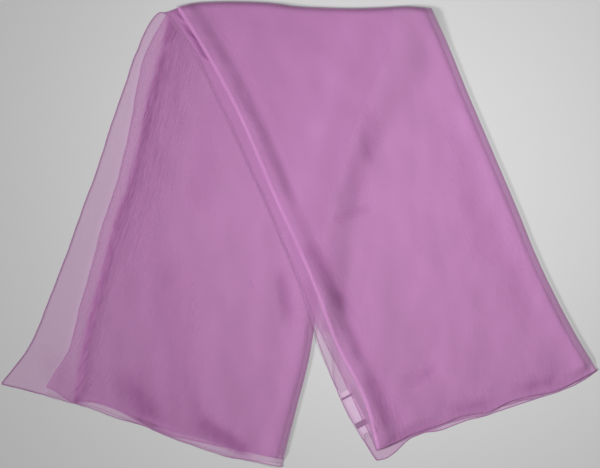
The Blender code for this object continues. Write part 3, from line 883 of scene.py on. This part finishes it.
def label_satin():
    """Polyester satin, ribbon-woven: smooth and bright along its length, with a fine rib every 0.6 mm."""
    made, tree, shader = new_material("label_satin_ribbon_woven", {"Roughness": 0.42})
    flat = add(tree, "ShaderNodeUVMap", {"uv_map": "cloth"})
    parts = add(tree, "ShaderNodeSeparateXYZ", None, {0: flat.outputs[0]})
    ribs = add(tree, MATH, TIMES, {0: parts.outputs["Y"], 1: 2 * np.pi / (0.6 * MM)})
    wave = add(tree, MATH, {"operation": "SINE"}, {0: ribs.outputs[0]})
    bump = add(tree, "ShaderNodeBump", None, {
        "Height": wave.outputs[0], "Distance": 0.04 * MM, "Strength": 0.6,
    })
    tone = add(tree, NOISE, None, {"Vector": flat.outputs[0], "Scale": 1.0 / (10.0 * MM), "Detail": 2.0})
    colour = add(tree, MIX, COLOURS, {0: tone.outputs[0], 6: linear("#E9E4EA"), 7: linear("#F6F2F6")})
    tree.links.new(colour.outputs[2], shader["Base Color"])
    tree.links.new(bump.outputs[0], shader["Normal"])
    return made


def label_yarn():
    """Polyester yarn, woven into the satin as a plain bar: flat and grey."""
    made, tree, shader = new_material("label_yarn_woven_grey", {"Roughness": 0.7})
    flat = add(tree, "ShaderNodeUVMap", {"uv_map": "cloth"})
    tone = add(tree, NOISE, None, {"Vector": flat.outputs[0], "Scale": 1.0 / (0.8 * MM), "Detail": 1.0})
    colour = add(tree, MIX, COLOURS, {0: tone.outputs[0], 6: linear("#5F5664"), 7: linear("#7A7080")})
    tree.links.new(colour.outputs[2], shader["Base Color"])
    return made


def pale_floor():
    """Matt studio board, painted: plain pale grey."""
    made, tree, shader = new_material("studio_board_painted_pale", {
        "Roughness": 0.9,
        "Specular IOR Level": 0.1,
    })
    place = add(tree, "ShaderNodeTexCoord")
    tone = add(tree, NOISE, None, {"Vector": place.outputs["Object"], "Scale": 2.0})
    colour = add(tree, MIX, COLOURS, {0: tone.outputs[0], 6: linear("#CBCBCC"), 7: linear("#CFCFCF")})
    tree.links.new(colour.outputs[2], shader["Base Color"])
    return made


# name, dye, how much of what lies below is hidden, how deep the crinkles are in the shading, in metres
SILK = georgette("silk_georgette_crepe_woven", "#DB99D3", 0.37, 0.0022)
HEM_SILK = georgette("silk_georgette_rolled_hem", "#CC94C5", 0.46, 0.0)
UNDER_HEM_SILK = georgette("silk_georgette_rolled_hem_under", "#D69CCF", 0.22, 0.0)
THREAD = sewing_thread()
CRINKLES = crinkle_tree()
HEM = hem_tree()

layers = {}
shapes = {}
for tail, quarter, spans, cells, rows, inset, crease_inset, hem_column, lowest, billows in LAYERS:
    name = f"{tail}_quarter_{quarter}"
    corner = CORNER_ROUND if name == "left_quarter_a" else 0.0
    plan, flat = layer_plan(tail, spans, cells, rows, inset, crease_inset, hem_column, corner)
    x, y = plan[:, :, 0], plan[:, :, 1]
    layer_height = left_layer_height if tail == "left" else right_layer_height
    points = np.stack([x, y, layer_height(quarter, x, y)], axis=2)
    sheet = grid_object(name, points, flat, {
        "crinkle": crinkle_amount(tail, x, y),
        # how dark each point is drawn: doubled cloth, and painted shade in creases, troughs and crumples
        "doubled_and_painted_shade": doubled_and_painted_shade_amount(tail, x, y),
        "billow": billow_amount(tail, billows, x, y),
    })
    layers[name] = grown(sheet, CRINKLES, {"Lowest": lowest * MM, "Material": SILK})
    shapes[name] = points.shape


def rolled_hem(name, layer, edges, silk, stitch_lift):
    """The rolled and stitched hem along a layer's raw edges, down its left side and along its lower end."""
    grid = np.zeros(shapes[layer], np.float32)
    flat = grid.reshape(-1)
    layers[layer].data.vertices.foreach_get("co", flat)
    runs = {"side": grid[:, 0], "end": grid[-1]}
    path = np.concatenate([runs[edge] for edge in edges])
    path = path[np.r_[True, np.linalg.norm(np.diff(path, axis=0), axis=1) > 1e-5]]
    mesh = bpy.data.meshes.new(name)
    mesh.from_pydata(path.tolist(), [(i, i + 1) for i in range(len(path) - 1)], [])
    sizes = {"Stitch lift": stitch_lift * MM, "Cloth": silk, "Thread": THREAD}
    return grown(new_object(name, mesh), HEM, sizes)


# columns: hem, its layer, the raw edges that it follows, its silk, the side that its stitches are on
hems = {
    name: rolled_hem(name, *hem)
    for name, *hem in (
        ("left_hem_a", "left_quarter_a", ("side", "end"), HEM_SILK, STITCH_UP),
        ("left_hem_d", "left_quarter_d", ("side", "end"), UNDER_HEM_SILK, STITCH_DOWN),
        ("left_hem_c", "left_quarter_c", ("end",), UNDER_HEM_SILK, STITCH_UP),
        ("left_hem_b", "left_quarter_b", ("end",), HEM_SILK, STITCH_DOWN),
        ("right_hem_a", "right_quarter_a", ("side", "end"), HEM_SILK, STITCH_LEVEL),
        ("right_hem_d", "right_quarter_d", ("side", "end"), UNDER_HEM_SILK, STITCH_UP),
        ("right_hem_c", "right_quarter_c", ("end",), UNDER_HEM_SILK, STITCH_DOWN),
        ("right_hem_b", "right_quarter_b", ("end",), HEM_SILK, STITCH_UP),
    )
}


def label_piece():
    """The blank label: a strip of satin with two plain bars woven in, its two ends turned under."""
    across = np.linspace(-0.5, 0.5, LABEL_CELLS[0] + 1) * LABEL_WIDTH
    along = np.linspace(0.5, -0.5, LABEL_CELLS[1] + 1) * LABEL_LENGTH
    grid_x, grid_y = np.meshgrid(across, along)
    x = LABEL_AT[0] + grid_x * np.cos(LABEL_TURN) - grid_y * np.sin(LABEL_TURN)
    y = LABEL_AT[1] + grid_x * np.sin(LABEL_TURN) + grid_y * np.cos(LABEL_TURN)
    tuck_from, tuck_to = (LABEL_LENGTH / 2 - inward for inward in LABEL_TUCK_FROM)
    z = LABEL_Z + LABEL_TUCK * step(np.abs(grid_y), tuck_from, tuck_to)
    piece = grid_object("blank_label", np.stack([x, y, z], axis=2), np.stack([grid_x, grid_y], axis=2), {})
    piece.data.materials.append(label_satin())
    piece.data.materials.append(label_yarn())
    middles = (along[:-1] + along[1:]) / 2
    bars = np.any([np.abs(middles - place) < half for place, half in LABEL_BARS], axis=0)
    piece.data.polygons.foreach_set("material_index", np.repeat(bars, LABEL_CELLS[0]).astype(np.int32))
    return piece


label = label_piece()

for piece in (*layers.values(), *hems.values(), label):
    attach(piece, "root")

# columns: layer, its hem, the node that it replaces, its finish, the layer that it lies on, if not the table
for name, hem_name, node, slot, under in (
    ("left_quarter_a", "left_hem_a", "left_tail_top_layer", "silk_top_left", ("left_quarter_d",)),
    ("left_quarter_b", "left_hem_b", "left_tail_folded_core", "silk_core_left", ()),
    ("left_quarter_c", "left_hem_c", "left_tail_folded_core", "silk_core_left", ("left_quarter_b",)),
    ("left_quarter_d", "left_hem_d", "left_tail_folded_core", "silk_core_left", ("left_quarter_c",)),
    ("right_quarter_b", "right_hem_b", "right_tail_front_layer", "silk_front_right", ("right_quarter_c",)),
    ("right_quarter_a", "right_hem_a", "right_tail_folded_core", "silk_core_right", ("left_quarter_a",)),
    ("right_quarter_c", "right_hem_c", "right_tail_folded_core", "silk_core_right", ("right_quarter_d",)),
    ("right_quarter_d", "right_hem_d", "right_tail_folded_core", "silk_core_right", ("right_quarter_a",)),
):
    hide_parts(node)
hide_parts("sewn_label")

# a floor of 8 by 8 metres, just under the cloth, in metres
FLOOR_REACH = 4.0
FLOOR_Z = -0.0002
floor_mesh = bpy.data.meshes.new("floor")
floor_turns = ((-1, -1), (1, -1), (1, 1), (-1, 1))
floor_corners = [(x * FLOOR_REACH, y * FLOOR_REACH, FLOOR_Z) for x, y in floor_turns]
floor_mesh.from_pydata(floor_corners, [], [(0, 1, 2, 3)])
floor_mesh.materials.append(pale_floor())
new_object("floor", floor_mesh)


def studio_light(name, kind, place, target, settings):
    """A light that looks at a point, with its own settings."""
    lamp = bpy.data.lights.new(name, kind)
    for key, value in settings.items():
        setattr(lamp, key, value)
    made = new_object(name, lamp)
    made.location = place
    made.rotation_euler = (Vector(target) - Vector(place)).to_track_quat("-Z", "Y").to_euler()


# a low window from the left, a small softbox above the middle, and a little light from all round
studio_light("window", "SUN", (-3.0, -0.8, 1.4), (0, 0, 0), {"energy": 3.0, "angle": 0.16})
studio_light("softbox", "AREA", (0.15, 0.1, 0.78), (0.15, 0.1, 0), {"energy": 4.4, "size": 0.4})
world = bpy.data.worlds.new("studio")
world.use_nodes = True
background = world.node_tree.nodes["Background"].inputs
background["Color"].default_value = (1.0, 1.0, 1.0, 1.0)
background["Strength"].default_value = 0.09
bpy.context.scene.world = world
bpy.context.scene.view_settings.view_transform = "Standard"

# the camera looks straight down, in metres: the photo's frame is 600 pixels of 1.5 mm wide
CAMERA_HEIGHT = 3.0
FRAME_WIDTH = 0.9
camera_data = bpy.data.cameras.new("camera")
camera_data.sensor_width = 36.0
camera_data.lens = camera_data.sensor_width * CAMERA_HEIGHT / FRAME_WIDTH
camera = new_object("camera", camera_data)
camera.location = (0.0015, -0.0006, CAMERA_HEIGHT)
bpy.context.scene.camera = camera
